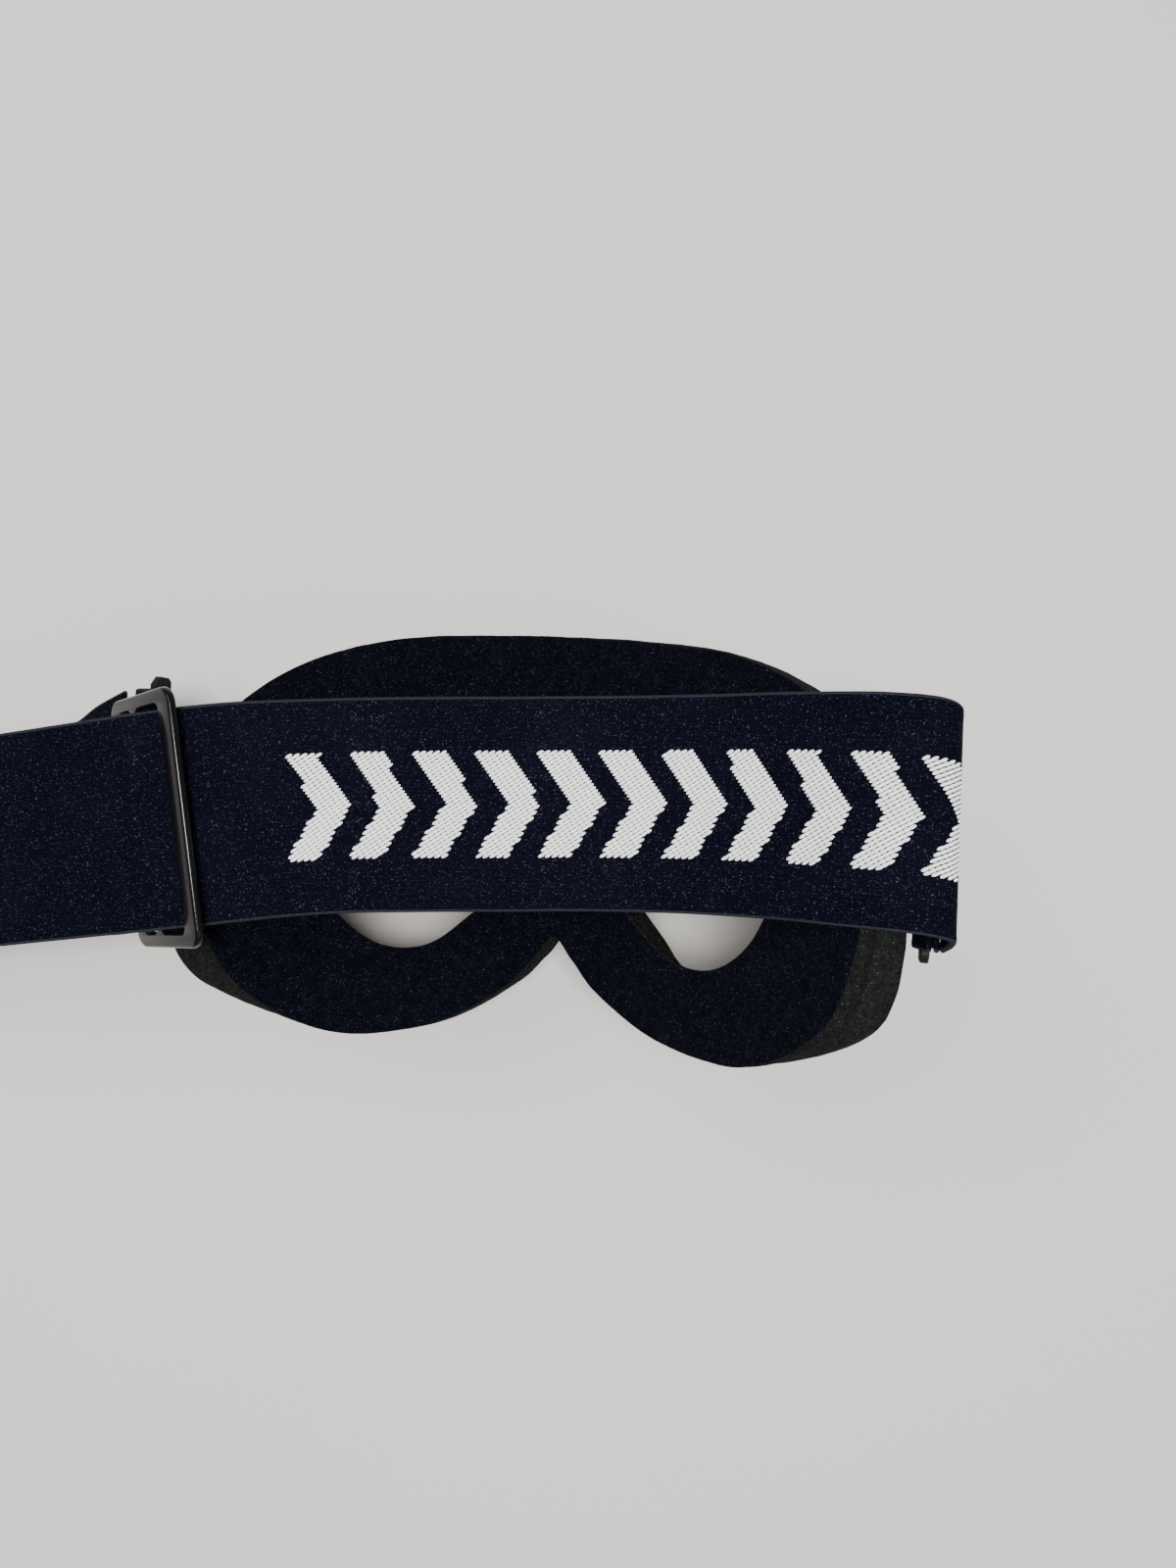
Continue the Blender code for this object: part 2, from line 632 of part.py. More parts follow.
def make_loops(pivots, slide):
    """The strap's turns round the arm bars and the slider's centre bar, and their stitching."""
    bar = (0, ARM_LENGTH)
    right = around(bar, [(1.9, 6.2), (2.2, 3.0)])
    right += half_turn(bar, ARM_LOOP_RADIUS, 10, -190)
    right += around(bar, [(-1.2, 2.4), (0.4, 5.8)])
    webbing("strap_right_loop", upright(right), pivots["right"], strap_look("right_loop"),
            thickness=PLY_THICKNESS)
    left = around(bar, [(-6.5, -8.0), (-3.4, -4.6)])
    left += half_turn(bar, ARM_LOOP_RADIUS, -130, 75)
    left += around(bar, [(-3.4, 2.0), (-7.0, -0.4)])
    webbing("strap_left_loop", upright(left), pivots["left"], strap_look("left_loop"),
            thickness=PLY_THICKNESS)
    tack = STRAP_WIDTH - 2 * TACK_MARGIN
    block("bar_tack_right", (0.5, tack, 2.4), (3.1, 0, ARM_LENGTH + 4.6), (0, -5, 0),
          pivots["right"], material("thread_right", TEXTILE, 0.7))
    tilt = math.radians(SLIDER_TILT)
    along = sum(CENTRE_BAR) / 2
    centre = (along * math.cos(tilt), along * math.sin(tilt) - SLIDER_DROP)
    sewn = [(-26, -2.9), (-12, -2.7), (-7.5, -2.3)]
    sewn += half_turn(centre, LOOP_RADIUS, 90, -90)
    sewn += [(-8.5, -5.3), (-14, -4.5), (-31, -4.5)]
    webbing("strap_sewn_end", upright(sewn), slide, strap_look("sewn_end"),
            thickness=PLY_THICKNESS)
    block("bar_tack_slider", (2.4, tack, 0.5), (-21, 0, -5.7), parent=slide,
          look=material("thread_slider", TEXTILE, 0.7))


def around(centre, points):
    """Points in the X-Z plane given from a centre."""
    return [(centre[0] + x, centre[1] + z) for x, z in points]


def upright(points):
    """Points of the X-Z plane as vectors."""
    return [Vector((x, 0, z)) for x, z in points]


def half_turn(centre, radius, start, end, steps=8):
    """Points on an arc in the X-Z plane, between two angles in degrees."""
    points = []
    for step in range(steps + 1):
        angle = math.radians(start + (end - start) * step / steps)
        points.append((centre[0] + radius * math.cos(angle), centre[1] + radius * math.sin(angle)))
    return points


def make_slider(slide):
    """The three-bar slider: a flat frame with two slots, tilted so that the strap threads it."""
    half_length, half_width = SLIDER_LENGTH / 2, SLIDER_WIDTH / 2
    opening = STRAP_WIDTH / 2 + STRAP_ROOM
    curve = bpy.data.curves.new("slider_outline", "CURVE")
    curve.dimensions = "2D"
    curve.fill_mode = "BOTH"
    curve.extrude = SLIDER_THICKNESS / 2 * MM
    shapes = [rounded_box(-half_length, half_length, half_width, 4.0, 5)]
    shapes.append(rounded_box(CENTRE_BAR[1], RIGHT_BAR_EDGE, opening, 1.2, 2))
    shapes.append(rounded_box(LEFT_BAR_EDGE, CENTRE_BAR[0], opening, 1.2, 2))
    for shape in shapes:
        spline = curve.splines.new("POLY")
        spline.points.add(len(shape) - 1)
        spline.use_cyclic_u = True
        for point, (x, y) in zip(spline.points, shape):
            point.co = (x * MM, y * MM, 0, 1)
    guide = bpy.data.objects.new("slider_outline", curve)
    PARTS.objects.link(guide)
    slider = mesh_from_curve(guide, "slider_frame")
    slider.parent = slide
    slider.location = (0, 0, -SLIDER_DROP * MM)
    slider.rotation_euler = (0, -math.radians(SLIDER_TILT), 0)
    slider.data.materials.append(material("slider_plastic", BLACK, 0.15))
    bevel(slider, 0.55)


def rounded_box(low, high, half_width, radius, steps):
    """A rounded rectangle from low to high in X and half_width either side in Y."""
    points = []
    corners = ((high, half_width, 0), (low, half_width, 90), (low, -half_width, 180),
               (high, -half_width, 270))
    for x, y, start in corners:
        centre_x = x - math.copysign(radius, x - (low + high) / 2)
        centre_y = y - math.copysign(radius, y)
        for step in range(steps + 1):
            angle = math.radians(start + 90 * step / steps)
            points.append((centre_x + radius * math.cos(angle), centre_y + radius * math.sin(angle)))
    return points


def main():
    root = empty("goggles_root", location=CENTRING)
    frame = goggle_frame(root)
    make_lenses(frame)
    make_frame(frame)
    make_vent_foam(frame)
    make_face_pad(frame)
    pivots = {"right": make_arm(frame, "right", 1), "left": make_arm(frame, "left", -1)}
    slide, turn = slope_frame(root)
    make_strap(root, turn)
    make_loops(pivots, slide)
    make_slider(slide)


main()
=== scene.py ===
"""Snow goggles lying lens down, with their strap folded flat over the face pad.

Every length below is in millimetres and becomes metres where a mesh is made.
"""

import math
import random

import bmesh
import bpy
from mathutils import Matrix, Vector, noise


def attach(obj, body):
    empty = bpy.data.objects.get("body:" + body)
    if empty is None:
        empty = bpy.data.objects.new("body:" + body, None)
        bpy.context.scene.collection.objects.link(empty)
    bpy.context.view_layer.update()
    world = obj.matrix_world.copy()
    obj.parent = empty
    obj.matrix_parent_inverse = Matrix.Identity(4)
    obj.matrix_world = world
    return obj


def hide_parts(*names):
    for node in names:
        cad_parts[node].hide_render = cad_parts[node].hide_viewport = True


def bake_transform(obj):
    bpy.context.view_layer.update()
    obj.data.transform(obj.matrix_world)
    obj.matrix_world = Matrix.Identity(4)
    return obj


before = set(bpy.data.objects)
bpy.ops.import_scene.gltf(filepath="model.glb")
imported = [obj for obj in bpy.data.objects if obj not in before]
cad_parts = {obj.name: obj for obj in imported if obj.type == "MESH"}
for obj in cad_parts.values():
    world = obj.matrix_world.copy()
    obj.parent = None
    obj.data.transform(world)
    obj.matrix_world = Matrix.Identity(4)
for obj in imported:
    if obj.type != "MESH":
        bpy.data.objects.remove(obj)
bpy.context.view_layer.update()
MM = 0.001

# ---- the frame's own dimensions --------------------------------------------------------
LENS_RADIUS = 105.0
ROLL, YAW = 12.0, -3.0
CENTRING = Vector((-1.62, 0.56, 0.065))
HALF_WIDTH, FLAT_SIDE, TALL_SIDE = 88.0, 0.08, 0.025
RIM_THICKNESS, SEAT_WIDTH = 1.3, 5.0
BACK_CENTRE, WRAP = 26.0, 0.0040
BASE_FOAM, TOP_FOAM, FLEECE = 11.0, 6.2, 1.6
GAP = 0.3
OUTLINE_STEPS = 14
STRAP_WIDTH, STRAP_THICKNESS, PLY = 50.0, 1.6, 1.2
SLOPE, SLOPE_TURN, SLOPE_LENGTH = 14.3, 7.0, 74.0
SLOPE_TOP = Vector((-22.0, 6.7, 72.0))
SLIDER_DISTANCE, SLIDER_TILT, SLIDER_DROP = 10.9, 31.0, 2.94

BASE_OUTLINE = [
    (0, 52.5), (22, 52), (44, 49.5), (66, 41), (82, 26), (88, 5), (91, -17),
    (84, -38), (57, -49), (29, -45.7), (12.5, -36), (5, -28.5), (0, -23),
]
FACE_OUTLINE = [
    (0, 52), (22, 51.3), (44, 48.3), (63, 39.5), (76, 24), (79, 3), (77.5, -18),
    (70, -36.5), (51, -48), (28.5, -45.4), (12, -35.7), (5, -28.2), (0, -22.5),
]
FACE_OPENING = [
    (0, 28), (20, 28), (38, 25.5), (50, 18.5), (54.5, 8), (56, -2), (54, -12),
    (49, -20.5), (41, -26), (31, -25.5), (21.5, -18), (12, -8.5), (0, -3.5),
]
FRAME_OPENING = [
    (0, 38), (20, 38), (41, 35.5), (60, 28), (71, 17), (75, 2), (73, -16),
    (64, -29), (48, -35.5), (33, -31), (23.5, -20.5), (14, -11.5), (0, -7.5),
]
LENS_OUTLINE = [
    (0, 42.5), (22, 42.3), (43, 40.2), (64, 33.5), (78.5, 20.5), (84, 3), (82.5, -17),
    (72, -34), (51, -42.6), (30, -39.8), (15.5, -31), (7, -24), (0, -19.5),
]
RIGHT_SIDE = [
    (145.0, 2.9, 87.2), (145.4, 4.2, 90.0), (144.4, 5.8, 93.2), (141.4, 6.9, 95.0),
    (137.4, 7.6, 94.4),
]
UPPER_RUN = [
    (137.1, 7.7, 94.3), (129.0, 8.4, 91.8), (120.0, 8.8, 87.0), (109.0, 9.2, 79.6),
    (98.0, 9.3, 73.2), (88.0, 9.4, 69.0), (75.0, 9.4, 66.0), (62.0, 9.4, 65.0),
    (50.0, 9.3, 65.0), (37.0, 9.3, 65.0), (25.0, 9.2, 65.0), (12.0, 9.0, 65.0),
    (-2.0, 8.4, 67.4), (-12.0, 7.7, 70.6),
]
LEFT_FOLD = [
    (-110.0, -4.8, 47.6), (-126.0, -7.0, 37.5), (-137.5, -8.6, 24.0), (-142.0, -9.3, 11.5),
    (-137.5, -8.7, 3.0), (-128.0, -7.4, 0.95), (-112.0, -5.2, 0.95),
]
LEFT_LOWER = [
    (-111.6, -5.15, 0.95), (-92.0, -1.0, 3.6), (-72.0, 5.4, 10.6), (-58.0, 10.4, 21.6),
    (-49.6, 12.9, 30.0),
]
INNER_RUN = [
    (-51.6, 12.9, 37.3), (-62.0, 9.6, 28.0), (-74.0, 5.0, 16.2), (-94.0, -1.2, 8.0),
    (-112.0, -4.6, 4.8), (-126.0, -6.7, 5.6), (-134.5, -8.0, 11.8), (-131.5, -7.7, 20.5),
    (-120.5, -6.2, 31.6), (-105.5, -4.1, 41.0), (-90.0, -2.1, 46.6),
]
ARM_LENGTH, ARM_LOOP_RADIUS = 9.5, 2.3
CENTRE_BAR, LOOP_RADIUS = -3.0, 2.65
ROW_LENGTH = 0.8


def rotation(degrees, axis):
    return Matrix.Rotation(math.radians(degrees), 3, axis)


TURN = rotation(YAW, "Z") @ rotation(-ROLL, "Y")
ORIGIN = (Vector((48.4, -1.0, LENS_RADIUS + RIM_THICKNESS))
          - TURN @ Vector((0, 0, LENS_RADIUS)) + CENTRING)
SLOPE_FRAME = rotation(SLOPE_TURN, "Z") @ rotation(-SLOPE, "Y")
SLIDE_ORIGIN = SLOPE_TOP - SLOPE_FRAME @ Vector((SLIDER_DISTANCE, 0, 0)) + CENTRING
MESH = bpy.context.scene.collection


# ---- small helpers ---------------------------------------------------------------------
def smooth_line(points, steps, closed=False):
    """Catmull-Rom points through the given ones, with a number of steps in each span."""
    points = [Vector(point) for point in points]
    count = len(points)
    line = []
    for index in range(count if closed else count - 1):
        if closed:
            a, b, c, d = (points[(index + shift) % count] for shift in (-1, 0, 1, 2))
        else:
            b, c = points[index], points[index + 1]
            a = points[index - 1] if index else 2 * b - c
            d = points[index + 2] if index + 2 < count else 2 * c - b
        for step in range(steps):
            t = step / steps
            line.append(
                0.5 * (2 * b + (c - a) * t + (2 * a - 5 * b + 4 * c - d) * t**2
                       + (3 * b - a - 3 * c + d) * t**3)
            )
    if not closed:
        line.append(points[-1])
    return line


def moved_out(line, amount):
    """A closed line with each point moved outwards, square to the line."""
    count = len(line)
    moved = []
    for index, point in enumerate(line):
        along = (line[(index + 1) % count] - line[index - 1]).normalized()
        moved.append(point + amount * Vector((-along.y, along.x)))
    return moved


def outline(half, grow=0.0):
    """A whole outline from its right half, moved outwards by grow."""
    left = [(-u, v) for u, v in reversed(half[1:-1])]
    return moved_out(smooth_line([*half, *left], OUTLINE_STEPS, closed=True), grow)


def lens_front(u):
    """Height of the lens's front face above its middle, across the frame."""
    return LENS_RADIUS - math.sqrt(LENS_RADIUS**2 - u**2)


def frame_back(u):
    """Height of the frame's back edge above the lens's middle, across the frame."""
    return BACK_CENTRE + WRAP * u**2


def above(surface, amount):
    return lambda u: surface(u) + amount


def placed(u, v, w):
    """A point of the goggles' own frame in the world, in millimetres."""
    out = u / HALF_WIDTH
    settled = Vector((u * (1 - FLAT_SIDE * out), v * (1 - TALL_SIDE * out), w))
    return ORIGIN + TURN @ settled


def finish_mesh(name, verts, faces, look, uvs=None):
    """An object from vertices in millimetres; uvs gives one pair for each vertex."""
    mesh = bpy.data.meshes.new(name)
    mesh.from_pydata([Vector(v) * MM for v in verts], [], faces)
    mesh.materials.append(look)
    if uvs:
        layer = mesh.uv_layers.new(name="strap")
        for loop in mesh.loops:
            layer.data[loop.index].uv = uvs[loop.vertex_index]
    work = bmesh.new()
    work.from_mesh(mesh)
    bmesh.ops.recalc_face_normals(work, faces=work.faces)
    work.to_mesh(mesh)
    work.free()
    mesh.shade_smooth()
    mesh.set_sharp_from_angle(angle=math.radians(60))
    made = bpy.data.objects.new(name, mesh)
    MESH.objects.link(made)
    return made


def rounded_section(corners, radii, arc, spans, bulges):
    """Points round a closed section: each corner rounded, each side divided and bulged."""
    count = len(corners)
    middle = sum(corners, Vector((0, 0, 0))) / count
    cuts = []
    for index, corner in enumerate(corners):
        before, after = corners[index - 1], corners[(index + 1) % count]
        reach_in = min(radii[index], (corner - before).length * 0.45)
        reach_out = min(radii[index], (corner - after).length * 0.45)
        cuts.append((corner + (before - corner).normalized() * reach_in,
                     corner + (after - corner).normalized() * reach_out))
    points = []
    for index, corner in enumerate(corners):
        start, end = cuts[index]
        for step in range(arc):
            t = step / arc
            points.append(start * (1 - t)**2 + corner * 2 * t * (1 - t) + end * t**2)
        following = cuts[(index + 1) % count][0]
        side = following - end
        outward = (end + following) / 2 - middle
        outward -= side.normalized() * outward.dot(side.normalized())
        outward = outward.normalized() if outward.length > 1e-6 else Vector((0, 0, 0))
        for step in range(spans[index]):
            t = step / spans[index]
            swell = bulges[index] * math.sin(math.pi * t)
            points.append(end + side * t + outward * swell)
    return points


def soft_ring(name, section, look, radii, spans, bulges, rough, arc=4, span=None):
    """A ring of foam or rubber with a rounded section and a slightly uneven surface.

    rough is (amount, size) of the unevenness, in millimetres.
    """
    verts, faces = [], []
    count = len(section[0][0])
    places = range(count) if span is None else range(span[0], span[1] + 1)
    for place in places:
        corners = [placed(*line[place % count], height(line[place % count][0]))
                   for line, height in section]
        verts.extend(rounded_section(corners, radii, arc, spans, bulges))
    rows = len(places)
    size = len(verts) // rows
    closed = span is None
    for row in range(rows if closed else rows - 1):
        here, there = row * size, ((row + 1) % rows) * size
        for index in range(size):
            after = (index + 1) % size
            faces.append((here + index, here + after, there + after, there + index))
    if not closed:
        faces.append(tuple(range(size)))
        faces.append(tuple(reversed(range((rows - 1) * size, rows * size))))
    made = finish_mesh(name, verts, faces, look)
    roughen(made, *rough)
    return made


def roughen(made, amount, size):
    """Move the vertices along their normals by smooth noise."""
    if not amount:
        return
    mesh = made.data
    for vertex in mesh.vertices:
        spot = vertex.co / (size * MM)
        height = noise.noise(spot) + 0.5 * noise.noise(spot * 2.3)
        vertex.co += vertex.normal * (height - 0.6) * amount * MM


# ---- materials -------------------------------------------------------------------------
class Look:
    """A material being wired: short calls for the nodes used here."""

    def __init__(self, name, colour, roughness, **sockets):
        self.material = bpy.data.materials.new(name)
        self.material.use_nodes = True
        self.tree = self.material.node_tree
        self.shader = self.tree.nodes["Principled BSDF"]
        self.set("Base Color", (*colour, 1.0))
        self.set("Roughness", roughness)
        for socket, value in sockets.items():
            self.set(socket.replace("_", " "), value)

    def set(self, socket, value):
        self.shader.inputs[socket].default_value = value

    def node(self, kind, **inputs):
        made = self.tree.nodes.new(kind)
        for socket, value in inputs.items():
            self.wire(made, socket.replace("_", " "), value)
        return made

    def wire(self, target, socket, value):
        slot = target.inputs[int(socket)] if socket.isdigit() else target.inputs[socket]
        if isinstance(value, bpy.types.NodeSocket):
            self.tree.links.new(value, slot)
        else:
            slot.default_value = value

    def math(self, operation, first, second=0.0, third=0.0):
        made = self.tree.nodes.new("ShaderNodeMath")
        made.operation = operation
        for index, value in enumerate((first, second, third)):
            self.wire(made, str(index), value)
        return made.outputs[0]

    def noise(self, scale, detail, stretch=None):
        source = self.node("ShaderNodeTexCoord").outputs["Object"]
        if stretch:
            mapping = self.node("ShaderNodeMapping", Vector=source, Scale=stretch)
            source = mapping.outputs[0]
        made = self.node("ShaderNodeTexNoise", Vector=source, Scale=scale, Detail=detail)
        return made.outputs["Fac"]

    def pores(self, scale):
        source = self.node("ShaderNodeTexCoord").outputs["Object"]
        return self.node("ShaderNodeTexVoronoi", Vector=source, Scale=scale).outputs["Distance"]

    def ramp(self, value, low, high):
        """value mapped from low..high to 0..1."""
        made = self.node("ShaderNodeMapRange", Value=value)
        made.inputs["From Min"].default_value = low
        made.inputs["From Max"].default_value = high
        return made.outputs[0]

    def blend(self, share, first, second):
        """A colour between two, each a triple or a socket."""
        made = self.tree.nodes.new("ShaderNodeMix")
        made.data_type = "RGBA"
        self.wire(made, "0", share)
        for index, value in (("6", first), ("7", second)):
            self.wire(made, index, value if isinstance(value, bpy.types.NodeSocket)
                      else (*value, 1.0))
        return made.outputs[2]

    def colour(self, socket):
        self.wire(self.shader, "Base Color", socket)

    def roughness(self, socket):
        self.wire(self.shader, "Roughness", socket)

    def bump(self, height, depth, strength, over=None):
        """Bump of a depth in millimetres; over is the bump that it lies on."""
        made = self.node("ShaderNodeBump", Height=height, Distance=depth * MM, Strength=strength)
        if over:
            self.wire(made, "Normal", over)
        self.wire(self.shader, "Normal", made.outputs[0])
        return made.outputs[0]


NAVY = (0.0013, 0.0015, 0.0046)
NAVY_LIGHT = (0.0046, 0.0052, 0.0125)


def webbing_look(name):
    """Woven elastic: ribs along the strap, short slanted threads in each, pale selvedges."""
    look = Look(name, NAVY, 0.8, Sheen_Weight=0.006, Sheen_Roughness=0.4)
    look.set("Specular IOR Level", 0.02)
    uv = look.node("ShaderNodeUVMap")
    uv.uv_map = "strap"
    parts = look.node("ShaderNodeSeparateXYZ", Vector=uv.outputs[0])
    along, across = parts.outputs[0], parts.outputs[1]
    rib = look.math("MULTIPLY", across, 100 / 0.9)
    stagger = look.math("MULTIPLY", look.math("FLOOR", rib), 0.5)
    thread = look.math("ADD", look.math("MULTIPLY", along, 100 / 1.6), stagger)
    slanted = look.math("SUBTRACT", thread, look.math("MULTIPLY", rib, 0.35))
    rib_height = look.math("ABSOLUTE", look.math("SINE", look.math("MULTIPLY", rib, math.pi)))
    thread_height = look.math(
        "ABSOLUTE", look.math("SINE", look.math("MULTIPLY", slanted, math.pi)))
    height = look.math("MULTIPLY", rib_height, look.math("MULTIPLY_ADD", thread_height, 0.5, 0.5))
    fuzz = look.noise(2600, 2)
    # Bright specks: painted glints of the fibres.
    painted_glints = look.ramp(look.noise(2700, 1), 0.64, 0.76)
    patches = look.noise(60, 3)
    # Darker low in the weave: painted shade in the grooves between ribs and threads, times a
    # random fuzz tone.
    shade = look.math("MULTIPLY", look.ramp(fuzz, 0.42, 0.78), look.ramp(height, 0.1, 0.9))
    body = look.blend(look.math("MULTIPLY", shade, 0.8), NAVY, NAVY_LIGHT)
    body = look.blend(look.math("MULTIPLY", look.ramp(patches, 0.45, 0.8), 0.3), body, NAVY_LIGHT)
    edge = look.math("GREATER_THAN", look.math("ABSOLUTE", across), 0.2432)
    # The painted glints are mixed into the colour as pale specks.
    body = look.blend(look.math("MULTIPLY", painted_glints, 0.8), body, (0.060, 0.064, 0.095))
    look.colour(look.blend(look.math("MULTIPLY", edge, 0.7), body, (0.024, 0.026, 0.033)))
    first = look.bump(height, 0.10, 0.7)
    look.bump(fuzz, 0.12, 0.8, first)
    return look.material


def pattern_look():
    look = Look("pattern_thread", (0.74, 0.74, 0.72), 0.72, Sheen_Weight=0.2)
    fibres = look.noise(1500, 3)
    look.colour(look.blend(look.ramp(fibres, 0.35, 0.7), (0.74, 0.74, 0.72), (0.95, 0.95, 0.93)))
    look.bump(fibres, 0.08, 0.5)
    return look.material


def fleece_look():
    look = Look("fleece_pile", (0.004, 0.0045, 0.010), 0.95, Sheen_Weight=0.02,
                Sheen_Roughness=0.5)
    look.set("Specular IOR Level", 0.02)
    pile = look.noise(1400, 4)
    clumps = look.noise(300, 3)
    shade = look.math("MULTIPLY", look.ramp(pile, 0.4, 0.72), look.ramp(clumps, 0.3, 0.75))
    # Pale specks: lint on the pile, and painted glints of the pile.
    lint_and_glints = look.ramp(look.noise(2400, 1), 0.64, 0.76)
    body = look.blend(shade, (0.0011, 0.0012, 0.0030), (0.0048, 0.0052, 0.0105))
    look.colour(look.blend(look.math("MULTIPLY", lint_and_glints, 0.6), body, (0.040, 0.042, 0.060)))
    first = look.bump(clumps, 0.7, 0.5)
    look.bump(pile, 0.35, 0.8, first)
    return look.material


def foam_look(name, dark, pale):
    """Open-cell foam: fine pores, and painted glints where a few larger open cells catch the
    light.
    """
    look = Look(name, dark, 0.92)
    look.set("Specular IOR Level", 0.04)
    cells = look.pores(1700)
    specks = look.noise(900, 4)
    shade = look.math("MULTIPLY", look.ramp(cells, 0.05, 0.55), look.ramp(specks, 0.35, 0.75))
    # Bright specks: painted glints.
    painted_glints = look.ramp(look.noise(2300, 1), 0.66, 0.76)
    body = look.blend(shade, dark, pale)
    # The painted glints are mixed into the colour as pale specks.
    look.colour(look.blend(look.math("MULTIPLY", painted_glints, 0.6), body, (0.10, 0.10, 0.095)))
    first = look.bump(cells, 0.22, 0.7)
    look.bump(specks, 0.15, 0.5, first)
    return look.material


def plastic_look(name, colour, roughness, grain, depth, worn=(0.03, 0.03, 0.032), coat=0.0,
                 specular=0.5):
    """Moulded plastic with a fine grain and light scuffs."""
    look = Look(name, colour, roughness, Coat_Weight=coat, Coat_Roughness=0.05)
    look.set("Specular IOR Level", specular)
    scuffs = look.noise(220, 5, (1.0, 0.25, 1.0))
    fine = look.noise(grain, 2)
    look.colour(look.blend(look.math("MULTIPLY", look.ramp(scuffs, 0.55, 0.8), 0.5), colour, worn))
    look.roughness(look.math("MULTIPLY_ADD", look.ramp(scuffs, 0.35, 0.8), 0.16, roughness))
    look.bump(fine, depth, 0.6)
    return look.material


def steel_look():
    look = Look("pin_steel_look", (0.085, 0.085, 0.09), 0.3, Metallic=1.0)
    drawn = look.noise(900, 3, (1.0, 0.05, 1.0))
    look.roughness(look.math("MULTIPLY_ADD", drawn, 0.25, 0.18))
    look.bump(drawn, 0.02, 0.4)
    return look.material


def lens_look(name, tint, alpha):
    look = Look(name, tint, 0.04, Alpha=alpha, IOR=1.58, Coat_Weight=1.0, Coat_Roughness=0.02)
    smears = look.noise(45, 4, (1.0, 2.5, 1.0))
    look.roughness(look.math("MULTIPLY_ADD", look.ramp(smears, 0.45, 0.8), 0.10, 0.03))
    return look.material


# ---- goggles ---------------------------------------------------------------------------
def star_plate(name, line, surface, thickness, look, rings=26):
    """A curved plate with an outline, made of rings that shrink towards its middle.

    The outermost ring is a little thinner, so that the edge is eased.
    """
    centre = Vector((0.0, 14.0))
    easing = 0.25
    verts, faces = [], []
    count = len(line)
    for lift in (-thickness / 2, thickness / 2):
        for ring in range(rings):
            share = 1 - ring / rings
            level = lift * (1 - easing) if ring == 0 else lift
            for point in line:
                u, v = centre.lerp(point, share)
                verts.append(placed(u, v, surface(u) + level))
        verts.append(placed(centre.x, centre.y, surface(centre.x) + lift))
    side = rings * count + 1
    for layer in (0, 1):
        first = layer * side
        for ring in range(rings - 1):
            for index in range(count):
                after = (index + 1) % count
                here, there = first + ring * count, first + (ring + 1) * count
                faces.append((here + index, here + after, there + after, there + index))
        last = first + (rings - 1) * count
        for index in range(count):
            faces.append((last + index, last + (index + 1) % count, first + side - 1))
    for index in range(count):
        after = (index + 1) % count
        faces.append((index, after, side + after, side + index))
    return finish_mesh(name, verts, faces, look)


def goggles_piece(made, slot, *nodes):
    """made stands for nodes and stays with the goggles' body."""
    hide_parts(*nodes)
    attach(made, "goggles")


def make_lenses():
    room, inner_room, spacing = 1.2, 0.8, 3.5
    thickness, inner_thickness = 0.9, 0.6
    outer = star_plate("outer_lens_clear", outline(LENS_OUTLINE, -GAP),
                       above(lens_front, GAP + room / 2), thickness,
                       lens_look("outer_lens_look", (0.86, 0.78, 0.66), 0.06))
    goggles_piece(outer, "lens_clear", "outer_lens")
    inner_front = GAP + room + spacing
    inner = star_plate("inner_lens_clear", outline(LENS_OUTLINE, -1.0),
                       above(lens_front, inner_front + inner_room / 2), inner_thickness,
                       lens_look("inner_lens_look", (0.90, 0.86, 0.80), 0.05))
    goggles_piece(inner, "lens_clear_inner", "inner_lens")
    front = above(lens_front, 2 * GAP + room + 0.1)
    back = above(lens_front, inner_front - GAP - 0.1)
    far, near = outline(LENS_OUTLINE, -1.0), outline(LENS_OUTLINE, -4.6)
    seal = soft_ring("lens_seal_foam", [(far, front), (near, front), (near, back), (far, back)],
                     foam_look("seal_look", (0.012, 0.012, 0.012), (0.05, 0.05, 0.05)),
                     [0.5] * 4, [2, 2, 2, 2], [0, 0.1, 0, 0], (0.05, 3.0), 2)
    goggles_piece(seal, "seal_foam", "lens_seal")
    rim_outer, rim_inner = outline(LENS_OUTLINE, 2.4), outline(LENS_OUTLINE, -2.6)
    low, high = above(lens_front, -RIM_THICKNESS), above(lens_front, -0.1)
    rim = soft_ring("front_rim_moulded",
                    [(rim_outer, low), (rim_inner, low), (rim_inner, high), (rim_outer, high)],
                    plastic_look("rim_look", (0.012, 0.012, 0.013), 0.34, 1600, 0.02),
                    [0.9, 0.9, 0.2, 0.2], [2, 1, 2, 1], [0] * 4, (0, 1), 4)
    goggles_piece(rim, "rim_plastic", "front_rim")


